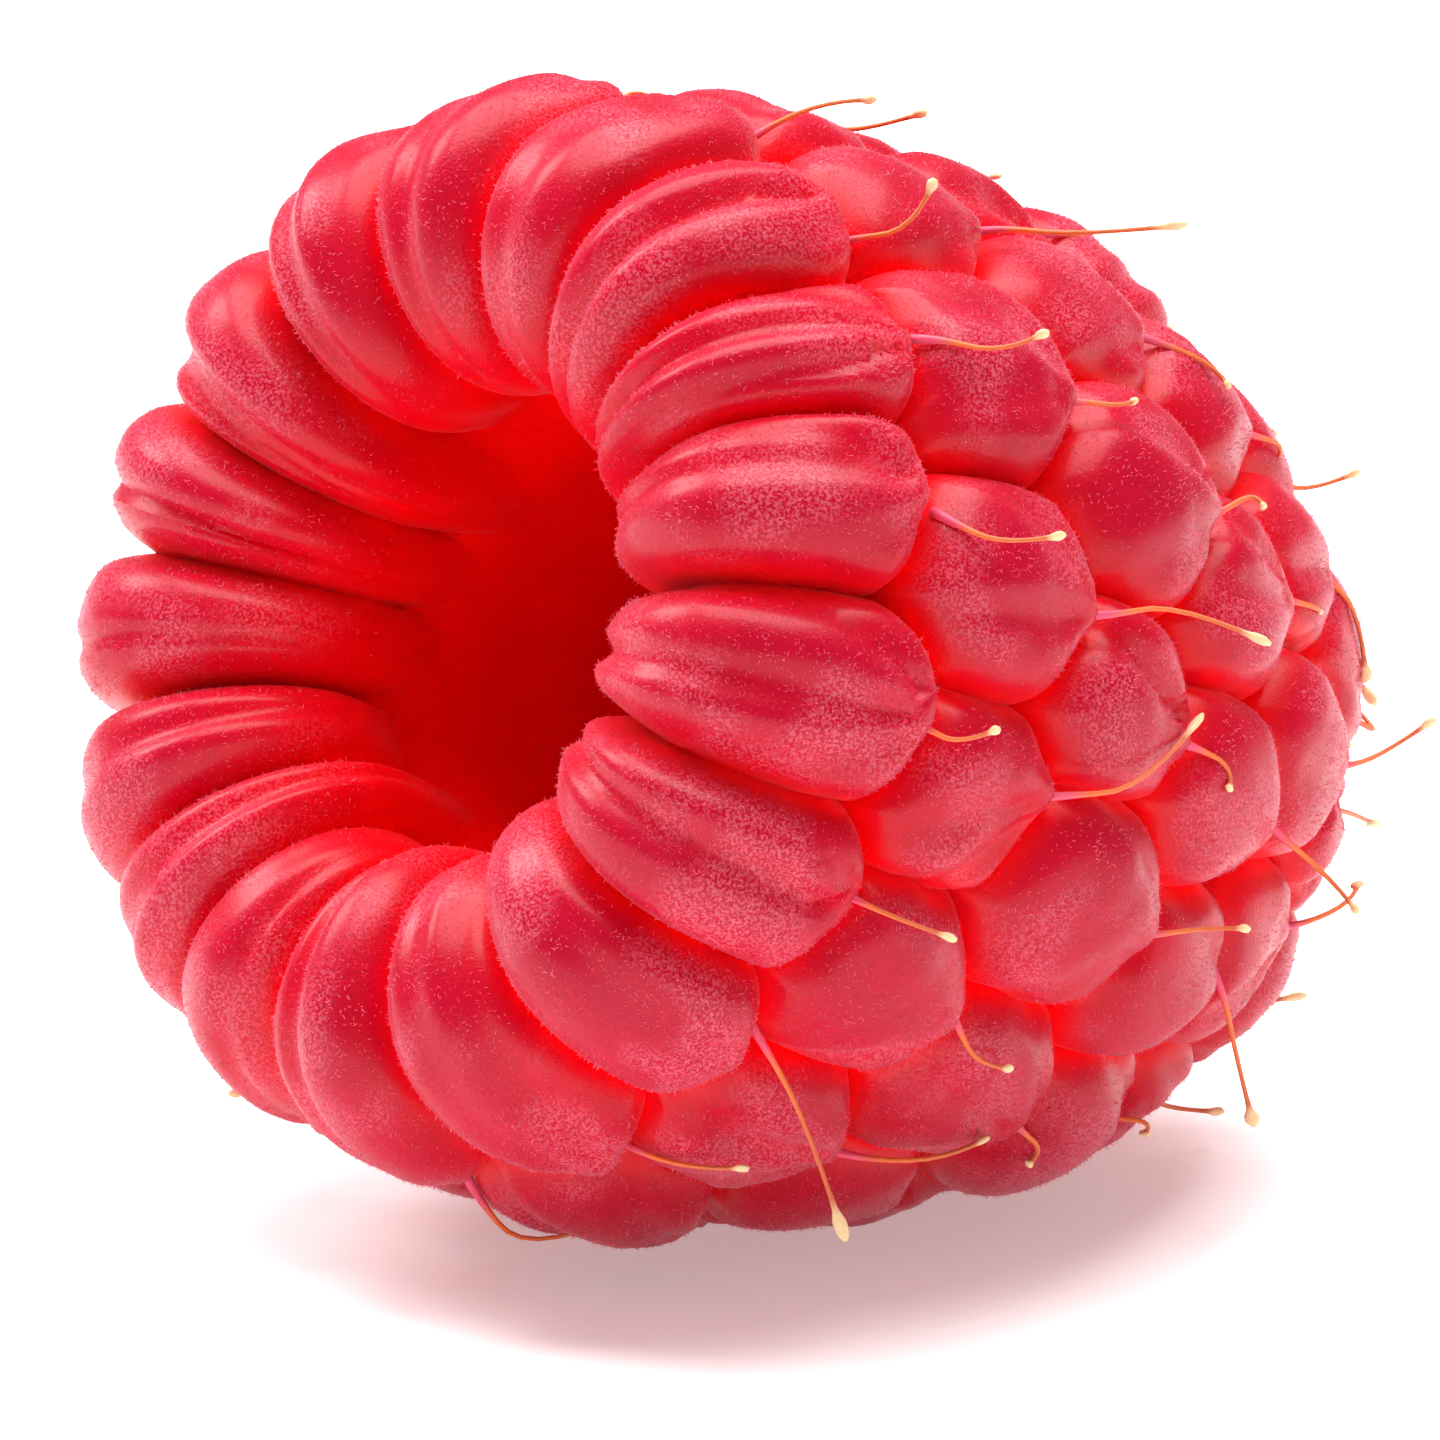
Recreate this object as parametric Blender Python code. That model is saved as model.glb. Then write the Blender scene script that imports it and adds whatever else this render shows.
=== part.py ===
"""A ripe raspberry as picked: drupelets grown together round the cup that the core left.

The fruit is worked out along its own axis, with the crest of the rim near x = 0 and the tip at
x = FRUIT_LENGTH. A base line, turned round that axis, runs from the tip over the rim to the bottom
of the cup. Drupelets sit on it, and the skin is raised from it by their height. The fruit is then
rolled and tilted to lie on its side on the floor plane z = 0, where the lowest drupelets are
pressed into small flats.

A place on the base is given by its turn round the axis and its station on the base line: 0 at the
tip, 1 at the widest section, 2 at the crest of the rim, 3 inside the cup and 4 at its bottom.
"""

import math
from dataclasses import dataclass

import bmesh
import bpy
import numpy as np
from mathutils import Matrix

MM = 0.001
QUARTER = math.pi / 2

# Overall form of the fruit, measured from the crest of the rim and from the axis
FRUIT_LENGTH = 21.0 * MM
FRUIT_RADIUS = 10.2 * MM
WIDEST_AT = 5.6 * MM
CUP_RADIUS = 4.5 * MM
CUP_BOTTOM_AT = 15.8 * MM
DRUPELET_HEIGHT = 1.95 * MM  # of a drupelet's top over the base

# Base line: four quarter ellipses, whose ends these are
BASE_RADIUS = FRUIT_RADIUS - DRUPELET_HEIGHT
BASE_TIP_AT = FRUIT_LENGTH - DRUPELET_HEIGHT
CREST_AT = 1.6 * MM
CREST_RADIUS = 7.0 * MM
LENGTHWISE = np.array([BASE_TIP_AT, CREST_AT, CREST_AT, CUP_BOTTOM_AT]) - WIDEST_AT
CROSSWISE = np.array([BASE_RADIUS, BASE_RADIUS - CREST_RADIUS, CUP_RADIUS - CREST_RADIUS, CUP_RADIUS])
MIDDLE_RADIUS = np.array([0.0, CREST_RADIUS, CREST_RADIUS, 0.0])
SIDE = np.array([1, 1, 1, -1])  # the last quarter is seen from inside
LEAN = 0.22  # how far the drupelets lean towards the tip
LINE_SAMPLES = 801  # places at which distances along the base line are measured

# Drupelets, counted ring by ring from the rim to the one at the tip
RIM_COUNT = 17
RIM_STATION = 1.6
RIM_SIZE = 0.92  # weight of a rim drupelet in the sharing of the base
RIM_SIZE_SPREAD = 0.18
RING_COUNTS = (15, 15, 14, 12, 9, 5, 1)
FIRST_RING_ARC = 0.1 * MM  # distance of the first ring from the widest section
SPACING = 3.55 * MM  # between neighbours of full size
TIP_SIZE = 0.86  # drupelets grow smaller towards the tip
SIZE_SPREAD = 0.10  # share by which single drupelets differ in size
TURN_SPREAD = 0.20  # share of its arc by which a drupelet is off its even place
SWAY = math.radians(20.0)  # by which single drupelets point aside of the tip
GROUND_END = 1.8  # station up to which the drupelets share out the base
GROUND_POINTS = 8000
GROUND_STEPS = 25
GOLDEN_ANGLE = math.pi * (3 - math.sqrt(5))

# Half sizes of a drupelet on the base, at full spacing
ACROSS = 2.17 * MM
ALONG = 2.33 * MM
FOOTPRINT = 2.0  # exponent of its outline on the base: 2 is an ellipse
FULLNESS = 2.3  # exponent of its bulge: 2 is an ellipsoid
REACH = 3.3 * MM  # nothing of a drupelet lies farther than this from its place on the base

# Half sizes of a rim drupelet, which curls over the rim into the cup
RIM_ACROSS = 1.69 * MM
RIM_TIPWARD = 2.0 * MM
RIM_MOUTHWARD = 5.5 * MM
RIM_FOOTPRINT = 3.0
RIM_SPREAD = 0.16  # share by which rim drupelets differ in reach
RIM_FADE = 4  # exponent by which they thin out into the cup

# Withered styles, a thread from the tipward end of every other drupelet
STYLE_EVERY = 2
STYLE_AT = 0.75  # place of its foot, as a share of the drupelet's half length
STYLE_LENGTH = 2.1 * MM
STYLE_LENGTH_SPREAD = 0.35
STYLE_ROOT = 0.5 * MM  # length sunk into the flesh
STYLE_LEAN = 0.9  # towards the tip at its foot
STYLE_LEAN_SPREAD = 0.6
STYLE_AHEAD = 0.3  # bend towards the tip along its length
STYLE_DOWN = 0.45  # bend down to the fruit along its length
STYLE_ASIDE = 0.8  # by which single styles lean and bend sideways
STYLE_RADIUS = 0.07 * MM
STYLE_TAPER = (1.3, 1.0, 0.9, 0.8, 1.9, 1.2)  # thickness from the root to the end of the knob
STYLE_STATIONS = (0.0, 0.35, 0.62, 0.88, 0.94, 1.0)  # share of the length at each of those
STYLE_CLEARANCE = 0.5 * MM  # a style that would come nearer to the floor than this is left out

# Resting pose
ROLL = math.radians(-56.0)
TILT = math.radians(19.0)
RIM_HEIGHT = 12.19 * MM  # of the rim's centre over the floor
SHIFT_X = -9.28 * MM  # of the rim's centre from the middle of the fruit's bounds
SHIFT_Y = -0.33 * MM

# Mesh fineness
RINGS = (0.45, 0.8, 1.0)  # of vertices round a drupelet, as shares of the way to its crevice
SEAM_STEPS = 1  # between corner and middle of each side of a drupelet
CUP_ROWS = (0.09, 0.18, 0.27, 0.36, 0.44, 0.52, 0.62, 0.75, 0.88, 1.0)  # from rim to cup bottom
SETTLE_STEPS = 60
SETTLE_SHARE = 0.4
WELD = 1e-6

SEED = 13
CREVICE_ANGLE = math.radians(40.0)  # edges sharper than this stay sharp
FLESH_COLOUR = (0.62, 0.010, 0.035, 1.0)
FLESH_ROUGHNESS = 0.5


def unit(vectors):
    """The vectors at length 1."""
    return vectors / np.linalg.norm(vectors, axis=-1, keepdims=True)


def base_at(station, turn):
    """Points on the base, and the directions in which the skin is raised there."""
    quarter = np.clip(np.floor(station), 0, 3).astype(int)
    angle = (station - quarter) * QUARTER
    even = quarter % 2 == 0
    lengthwise = np.where(even, np.cos(angle), np.sin(angle))
    crosswise = np.where(even, np.sin(angle), np.cos(angle))
    x = WIDEST_AT + LENGTHWISE[quarter] * lengthwise
    radius = MIDDLE_RADIUS[quarter] + CROSSWISE[quarter] * crosswise
    slope = np.stack([lengthwise / LENGTHWISE[quarter], crosswise / CROSSWISE[quarter]], axis=-1)
    normal = unit(slope) * SIDE[quarter][..., None]
    tipward = np.stack([normal[..., 1], -normal[..., 0]], axis=-1)
    lean = LEAN * crosswise * (quarter < 2)
    ray = unit(normal + lean[..., None] * tipward)
    return turned(x, radius, turn), turned(ray[..., 0], ray[..., 1], turn)


def turned(x, radius, turn):
    """Vectors from their part along the axis, their part off it and their turn round it."""
    return np.stack([x, radius * np.cos(turn), radius * np.sin(turn)], axis=-1)


def place_of(points):
    """Station and turn on the outside of the base that belong to points near it."""
    turn = np.arctan2(points[..., 2], points[..., 1])
    radius = np.hypot(points[..., 1], points[..., 2])
    behind = (points[..., 0] - WIDEST_AT) / LENGTHWISE[0]
    before = np.clip((points[..., 0] - WIDEST_AT) / LENGTHWISE[1], 0, 1)
    dome = np.arctan2(radius / BASE_RADIUS, behind) / QUARTER
    return np.where(behind > 0, dome, 1 + np.arcsin(before) / QUARTER), turn


def arc_of(station):
    """Distance along the base line from the tip to each station."""
    stations = np.linspace(0, 4, LINE_SAMPLES)
    line, _ = base_at(stations, np.zeros_like(stations))
    arcs = np.append(0.0, np.cumsum(np.linalg.norm(np.diff(line, axis=0), axis=1)))
    return np.interp(station, stations, arcs)


def even_turn(count, start, random):
    """Turns round the axis for a ring of drupelets, each a little off its even place."""
    places = np.arange(count) + start + random.uniform(-TURN_SPREAD, TURN_SPREAD, count)
    return places * 2 * math.pi / count


def first_places(random):
    """Stations, turns and sizes of the rim, and then of ring after ring."""
    stations = [np.full(RIM_COUNT, RIM_STATION)]
    turns = [even_turn(RIM_COUNT, 0.0, random)]
    sizes = [RIM_SIZE * (1 + random.uniform(-RIM_SIZE_SPREAD, RIM_SIZE_SPREAD, RIM_COUNT))]
    outside = np.linspace(0, 1, LINE_SAMPLES)
    arcs = np.linspace(arc_of(1.0) - FIRST_RING_ARC, 0, len(RING_COUNTS))
    rings = np.interp(arcs, arc_of(outside), outside)
    for number, (count, station) in enumerate(zip(RING_COUNTS, rings)):
        stations.append(np.full(count, station))
        turns.append(even_turn(count, 0.5 * (number % 2), random))
        spread = random.uniform(-SIZE_SPREAD, SIZE_SPREAD, count)
        sizes.append((TIP_SIZE + (1 - TIP_SIZE) * station) * (1 + spread))
    return np.concatenate(stations), np.concatenate(turns), np.concatenate(sizes)


def even_ground():
    """Points spread evenly over the base on a spiral from the tip, and the area of each."""
    stations = np.linspace(0, GROUND_END, LINE_SAMPLES)
    line, _ = base_at(stations, np.zeros_like(stations))
    steps = np.linalg.norm(np.diff(line, axis=0), axis=1)
    areas = np.append(0.0, np.cumsum(math.pi * steps * (line[1:, 1] + line[:-1, 1])))
    area = areas[-1] / GROUND_POINTS
    number = np.arange(GROUND_POINTS)
    places = np.interp((number + 0.5) * area, areas, stations)
    return base_at(places, number * GOLDEN_ANGLE)[0], area


def shared_out(stations, turns, sizes):
    """Places and sizes once each drupelet sits in the middle of its own ground.

    The ground goes to the nearest drupelet, by distance over size. The rim keeps its station.
    """
    ground, area = even_ground()
    for _ in range(GROUND_STEPS):
        seats, _ = base_at(stations, turns)
        distances = np.linalg.norm(ground[:, None] - seats, axis=2) / sizes
        owners = distances.argmin(axis=1)
        counts = np.bincount(owners)
        sums = [np.bincount(owners, ground[:, axis]) for axis in range(3)]
        moved = place_of(np.stack(sums, axis=1) / counts[:, None])
        stations[RIM_COUNT:] = moved[0][RIM_COUNT:]
        turns = moved[1]
    full = SPACING**2 * math.sqrt(3) / 2
    scales = np.sqrt(counts * area / full)
    scales[:RIM_COUNT] = 1
    return stations, turns, scales


@dataclass
class Drupelets:
    """All drupelets, rim first: places on the base, directions and half sizes."""

    arcs: np.ndarray
    turns: np.ndarray
    seats: np.ndarray
    ups: np.ndarray
    aheads: np.ndarray  # over the fruit, about towards the tip
    scales: np.ndarray
    rim_mouthwards: np.ndarray  # reach of each rim drupelet over the rim
    rim_tipwards: np.ndarray
    rim_widths: np.ndarray

    @classmethod
    def grown(cls, random):
        """The drupelets of this fruit."""
        stations, turns, scales = shared_out(*first_places(random))
        seats, ups = base_at(stations, turns)
        tipward = np.array([1.0, 1e-6, 0.0])  # a little aside, for the drupelet at the very tip
        ahead = unit(tipward - (ups @ tipward)[:, None] * ups)
        sway = random.uniform(-SWAY, SWAY, (len(seats), 1))
        aheads = np.cos(sway) * ahead + np.sin(sway) * np.cross(ups, ahead)
        mouthwards, tipwards = 1 + random.uniform(-RIM_SPREAD, RIM_SPREAD, (2, RIM_COUNT))
        return cls(
            arc_of(stations),
            turns,
            seats,
            ups,
            aheads,
            scales,
            RIM_MOUTHWARD * mouthwards,
            RIM_TIPWARD * tipwards,
            RIM_ACROSS * rim_shares(turns[:RIM_COUNT]),
        )

    def outness(self, stations, turns):
        """How far each place is from the middle of each drupelet: 1 at its own outline."""
        points, _ = base_at(stations, turns)
        return np.concatenate([self.rim_outness(stations, turns), self.dome_outness(points)], axis=1)

    def rim_outness(self, stations, turns):
        """As outness, for the rim drupelets, which bend with the base line."""
        forward = arc_of(stations)[:, None] - self.arcs[None, :RIM_COUNT]
        lengths = np.where(forward > 0, self.rim_mouthwards, self.rim_tipwards)
        aside = np.angle(np.exp(1j * (turns[:, None] - self.turns[None, :RIM_COUNT])))
        rim_radius = np.hypot(*self.seats[0, 1:])
        return oval(forward / lengths, aside * rim_radius / self.rim_widths, RIM_FOOTPRINT)

    def dome_outness(self, points):
        """As outness, for the drupelets behind the rim."""
        aheads = self.aheads[RIM_COUNT:]
        asides = np.cross(self.ups[RIM_COUNT:], aheads)
        scales = self.scales[RIM_COUNT:]
        offsets = points[:, None] - self.seats[RIM_COUNT:]
        along = (offsets * aheads).sum(axis=2) / (ALONG * scales)
        across = (offsets * asides).sum(axis=2) / (ACROSS * scales)
        near = np.linalg.norm(offsets, axis=2) < REACH
        return np.where(near, oval(along, across, FOOTPRINT), 1.0)

    def skin(self, stations, turns):
        """Points of the skin over places on the base: the highest drupelet counts."""
        points, rays = base_at(stations, turns)
        inside = np.clip(self.outness(stations, turns), 0, 1)
        bulges = (1 - inside**FULLNESS) ** (1 / FULLNESS) * self.scales
        forward = arc_of(stations)[:, None] - self.arcs[None, :RIM_COUNT]
        bulges[:, :RIM_COUNT] *= 1 - np.clip(forward / self.rim_mouthwards, 0, 1) ** RIM_FADE
        return points + rays * DRUPELET_HEIGHT * bulges.max(axis=1)[:, None]


def rim_shares(turns):
    """Room of each rim drupelet between its two neighbours, where 1 is an even share."""
    gap = np.angle(np.exp(1j * (np.roll(turns, -1) - np.roll(turns, 1))))
    return np.abs(gap) * RIM_COUNT / (4 * math.pi)


def oval(first, second, exponent):
    """Size of an offset measured in half sizes of a rounded outline."""
    return (np.abs(first) ** exponent + np.abs(second) ** exponent) ** (1 / exponent)


def hull_faces(seats):
    """Triples of neighbouring drupelets, without the lid over the mouth."""
    shape = bmesh.new()
    for seat in seats:
        shape.verts.new(seat)
    shape.verts.index_update()
    bmesh.ops.convex_hull(shape, input=shape.verts)
    bmesh.ops.triangulate(shape, faces=shape.faces)
    shape.verts.index_update()
    triples = np.array([[vertex.index for vertex in face.verts] for face in shape.faces])
    shape.free()
    return triples[(triples >= RIM_COUNT).any(axis=1)]


def settled(drupelets, members):
    """Points on the crevices, as near to each of the named drupelets as to the others."""
    corners = drupelets.seats[members]
    points = corners.mean(axis=1)
    for _ in range(SETTLE_STEPS):
        outness = np.take_along_axis(drupelets.outness(*place_of(points)), members, axis=1)
        pull = outness - outness.mean(axis=1, keepdims=True)
        points = points + SETTLE_SHARE * (pull[..., None] * (corners - points[:, None])).sum(axis=1)
    return points


def sector_mesh():
    """Weights of a sector's three corners at its vertices, and its triangles."""
    weights = [(1.0, 0.0, 0.0)]
    for ring in RINGS:
        for share in np.linspace(0, 1, SEAM_STEPS + 1):
            weights.append((1 - ring, ring * (1 - share), ring * share))
    row = SEAM_STEPS + 1
    triangles = [(0, 1 + step, 2 + step) for step in range(SEAM_STEPS)]
    for ring in range(len(RINGS) - 1):
        for step in range(SEAM_STEPS):
            first = 1 + ring * row + step
            triangles += [(first, first + row, first + row + 1), (first, first + row + 1, first + 1)]
    return np.array(weights), np.array(triangles)


def dome_mesh(drupelets):
    """The skin behind the rim: around each drupelet, sectors between its middle and its crevices."""
    triples = hull_faces(drupelets.seats)
    middles = settled(drupelets, triples)
    corners = []
    for first in range(3):
        second = (first + 1) % 3
        pairs = np.sort(triples[:, [first, second]], axis=1)
        seam = settled(drupelets, pairs)
        corners.append(np.stack([drupelets.seats[triples[:, first]], seam, middles], axis=1))
        corners.append(np.stack([drupelets.seats[triples[:, second]], middles, seam], axis=1))
    weights, triangles = sector_mesh()
    sectors = np.concatenate(corners)
    points = (weights @ sectors).reshape(-1, 3)
    faces = (triangles + len(weights) * np.arange(len(sectors))[:, None, None]).reshape(-1, 3)
    return drupelets.skin(*place_of(points)), faces


def rim_line(drupelets):
    """Stations and turns of the front edge of the dome mesh, all round the rim."""
    here = np.arange(RIM_COUNT)
    after = (here + 1) % RIM_COUNT
    seams = settled(drupelets, np.stack([here, after], axis=1))
    outwards = np.array([0.0, *RINGS])[:, None]
    points = []
    for index in here:
        points.append(drupelets.seats[index] * (1 - outwards) + seams[index] * outwards)
        back = outwards[-2:0:-1]
        points.append(drupelets.seats[after[index]] * (1 - back) + seams[index] * back)
    return place_of(np.concatenate(points))


def cup_mesh(drupelets):
    """The skin from the rim line over the crest to the bottom of the cup."""
    start, turn = rim_line(drupelets)
    rows = np.array([0.0, *CUP_ROWS])[:, None]
    stations = start + rows * (4 - start)
    points = drupelets.skin(stations.ravel(), np.broadcast_to(turn, stations.shape).ravel())
    count = len(turn)
    column = np.arange(count)
    following = (column + 1) % count
    faces = []
    for row in range(len(rows) - 1):
        near, far = row * count, (row + 1) * count
        faces.append(np.stack([near + column, near + following, far + following], axis=1))
        faces.append(np.stack([near + column, far + following, far + column], axis=1))
    return points, np.concatenate(faces)


def skin_object(drupelets, collection):
    """The closed skin of the fruit, dome and cup welded at the rim line."""
    points, faces = dome_mesh(drupelets)
    more_points, more_faces = cup_mesh(drupelets)
    mesh = bpy.data.meshes.new("raspberry")
    all_faces = np.concatenate([faces, more_faces + len(points)])
    mesh.from_pydata(np.concatenate([points, more_points]).tolist(), [], all_faces.tolist())
    shape = bmesh.new()
    shape.from_mesh(mesh)
    bmesh.ops.remove_doubles(shape, verts=shape.verts, dist=WELD)
    shape.normal_update()
    bmesh.ops.recalc_face_normals(shape, faces=shape.faces)
    shape.to_mesh(mesh)
    shape.free()
    return add_object("raspberry", mesh, collection)


def add_object(name, data, collection):
    """A new object with this data in the collection."""
    made = bpy.data.objects.new(name, data)
    collection.objects.link(made)
    return made


def style_lines(drupelets, random):
    """Centre line of every style: up out of the crevice at the apex, and bent on over the fruit."""
    places = place_of(drupelets.seats + STYLE_AT * ALONG * drupelets.scales[:, None] * drupelets.aheads)
    feet = drupelets.skin(*places)
    _, ups = base_at(*places)
    count = len(feet)
    lengths = STYLE_LENGTH * (1 + random.uniform(-STYLE_LENGTH_SPREAD, STYLE_LENGTH_SPREAD, (count, 1, 1)))
    sideways, bend = random.uniform(-STYLE_ASIDE, STYLE_ASIDE, (2, count, 1))
    lean = STYLE_LEAN + random.uniform(-STYLE_LEAN_SPREAD, STYLE_LEAN_SPREAD, (count, 1))
    across = np.cross(drupelets.ups, drupelets.aheads)
    start = unit(ups + lean * drupelets.aheads + sideways * across)[:, None]
    turning = (STYLE_AHEAD * drupelets.aheads - STYLE_DOWN * ups + bend * across)[:, None]
    shares = np.array(STYLE_STATIONS)[:, None]
    roots = feet[:, None] - STYLE_ROOT * start
    return roots + (lengths + STYLE_ROOT) * (shares * start + 0.5 * shares**2 * turning)


def style_object(line, name, collection):
    """A closed mesh of one style: a thin four-sided tube with a knob at its end."""
    curve = bpy.data.curves.new(name, "CURVE")
    curve.dimensions = "3D"
    curve.bevel_depth = STYLE_RADIUS
    curve.bevel_resolution = 0
    curve.use_fill_caps = True
    spline = curve.splines.new("POLY")
    spline.points.add(len(line) - 1)
    for point, place, taper in zip(spline.points, line, STYLE_TAPER):
        point.co = (*place, 1.0)
        point.radius = taper
    return curve_as_mesh(add_object(name, curve, collection), name, collection)


def curve_as_mesh(curve_object, name, collection):
    """The curve's tube as a mesh object with its caps welded on; the curve is removed."""
    bpy.context.view_layer.update()
    evaluated = curve_object.evaluated_get(bpy.context.evaluated_depsgraph_get())
    mesh = bpy.data.meshes.new_from_object(evaluated)
    shape = bmesh.new()
    shape.from_mesh(mesh)
    bmesh.ops.remove_doubles(shape, verts=shape.verts, dist=WELD)
    shape.to_mesh(mesh)
    shape.free()
    made = add_object(name + "_mesh", mesh, collection)
    made.matrix_world = curve_object.matrix_world
    bpy.data.objects.remove(curve_object)
    return made


def apply_modifiers(target):
    """Puts the evaluated mesh in the object's place."""
    bpy.context.view_layer.update()
    evaluated = target.evaluated_get(bpy.context.evaluated_depsgraph_get())
    mesh = bpy.data.meshes.new_from_object(evaluated)
    target.modifiers.clear()
    target.data = mesh


def fuse(body, pieces):
    """Joins every object of a collection into the body and removes them."""
    joining = body.modifiers.new("fused", "BOOLEAN")
    joining.operation = "UNION"
    joining.operand_type = "COLLECTION"
    joining.collection = pieces
    joining.solver = "MANIFOLD"
    apply_modifiers(body)
    for piece in list(pieces.objects):
        bpy.data.objects.remove(piece)
    bpy.data.collections.remove(pieces)


def resting_pose():
    """Places the fruit on its side, with its tip low and its rim raised."""
    roll = Matrix.Rotation(ROLL, 4, "X")
    tilt = Matrix.Rotation(TILT, 4, "Y")
    return Matrix.Translation((SHIFT_X, SHIFT_Y, RIM_HEIGHT)) @ tilt @ roll


def press_on_floor(body, cutters):
    """Cuts the lowest drupelets flat at the floor."""
    size = 3 * FRUIT_LENGTH
    mesh = bpy.data.meshes.new("under_floor")
    shape = bmesh.new()
    bmesh.ops.create_cube(shape, size=size)
    shape.to_mesh(mesh)
    shape.free()
    cutter = add_object("under_floor", mesh, cutters)
    cutter.location.z = -size / 2
    cutter.hide_render = True
    cutter.display_type = "WIRE"
    pressing = body.modifiers.new("pressed", "BOOLEAN")
    pressing.operation = "DIFFERENCE"
    pressing.object = cutter
    pressing.solver = "MANIFOLD"
    apply_modifiers(body)


def flesh_material():
    """Deep red, soft and a little shiny."""
    material = bpy.data.materials.new("raspberry_skin")
    material.use_nodes = True
    shader = material.node_tree.nodes["Principled BSDF"]
    shader.inputs["Base Color"].default_value = FLESH_COLOUR
    shader.inputs["Roughness"].default_value = FLESH_ROUGHNESS
    shader.inputs["Metallic"].default_value = 0.0
    return material


def new_collection(name):
    """A collection under the scene's own."""
    made = bpy.data.collections.new(name)
    bpy.context.scene.collection.children.link(made)
    return made


def main():
    """Builds the raspberry in its resting pose."""
    for old in list(bpy.data.objects):
        bpy.data.objects.remove(old)
    fruit = new_collection("raspberry")
    cutters = new_collection("cutters")
    styles = new_collection("styles")
    random = np.random.default_rng(SEED)
    drupelets = Drupelets.grown(random)
    body = skin_object(drupelets, fruit)
    pose = np.array(resting_pose())
    for number, line in enumerate(style_lines(drupelets, random)):
        lowest = (line @ pose[2, :3] + pose[2, 3]).min()
        if number % STYLE_EVERY == 0 and lowest > STYLE_CLEARANCE:
            style_object(line, f"style_{number:02d}", styles)
    fuse(body, styles)
    body.data.transform(resting_pose())
    press_on_floor(body, cutters)
    body.data.materials.clear()
    body.data.materials.append(flesh_material())
    body.data.shade_smooth()
    body.data.set_sharp_from_angle(angle=CREVICE_ANGLE)


main()
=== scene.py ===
"""Looks of a ripe raspberry as picked, lying on its side on a white table.

The flesh is worked out along the fruit's own axis, with the crest of the rim near x = 0 and the
tip towards +x, and then rolled and tilted onto the table at z = 0. A place on the base under the
drupelets is given by its station on the base line and its turn round the axis. Stations run from
0 at the tip over 1 at the widest section, 2 at the crest of the rim and 3 inside the cup to 4 at
its bottom.
"""

from __future__ import annotations

import logging
import math
from dataclasses import dataclass
from enum import Enum

import bmesh
import bpy
import numpy as np
from mathutils import Matrix, Vector
from numpy.typing import NDArray

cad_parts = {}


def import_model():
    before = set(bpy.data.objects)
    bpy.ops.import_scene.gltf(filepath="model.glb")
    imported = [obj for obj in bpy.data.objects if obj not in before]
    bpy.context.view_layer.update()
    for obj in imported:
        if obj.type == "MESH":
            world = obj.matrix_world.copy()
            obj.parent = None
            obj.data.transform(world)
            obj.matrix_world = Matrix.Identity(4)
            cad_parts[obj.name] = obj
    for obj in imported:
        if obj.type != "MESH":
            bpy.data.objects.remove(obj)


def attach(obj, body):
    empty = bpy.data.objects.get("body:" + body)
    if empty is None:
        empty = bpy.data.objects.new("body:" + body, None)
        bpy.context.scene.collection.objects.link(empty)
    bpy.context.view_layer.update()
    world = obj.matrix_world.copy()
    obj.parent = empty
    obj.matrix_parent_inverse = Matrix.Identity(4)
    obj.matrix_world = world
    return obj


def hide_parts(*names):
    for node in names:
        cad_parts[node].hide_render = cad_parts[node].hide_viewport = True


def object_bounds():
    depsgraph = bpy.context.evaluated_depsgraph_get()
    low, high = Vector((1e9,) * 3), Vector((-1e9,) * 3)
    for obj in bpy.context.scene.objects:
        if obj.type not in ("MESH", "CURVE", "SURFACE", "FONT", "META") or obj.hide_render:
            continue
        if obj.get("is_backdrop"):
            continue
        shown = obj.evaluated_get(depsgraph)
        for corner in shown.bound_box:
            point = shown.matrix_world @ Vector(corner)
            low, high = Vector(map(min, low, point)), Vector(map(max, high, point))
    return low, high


LOG = logging.getLogger("raspberry")
Array = NDArray[np.float64]
Indices = NDArray[np.int64]

MM = 0.001
QUARTER = math.pi / 2
BOTTOM_STATION = 4
WELD = 1e-6
GROWTH_SEED = 13
RELIEF_SEED = 21
HAIR_SEED = 33


def unit(vectors: Array) -> Array:
    """The vectors at length 1."""
    return vectors / np.linalg.norm(vectors, axis=-1, keepdims=True)


def smooth(values: Array, start: float, end: float) -> Array:
    """0 before start, 1 after end and an even rise between them."""
    share = np.clip((values - start) / (end - start), 0, 1)
    return share * share * (3 - 2 * share)


def turned(x: Array, radius: Array, turn: Array) -> Array:
    """Vectors from their part along the axis, their part off it and their turn round it."""
    return np.stack([x, radius * np.cos(turn), radius * np.sin(turn)], axis=-1)


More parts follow.
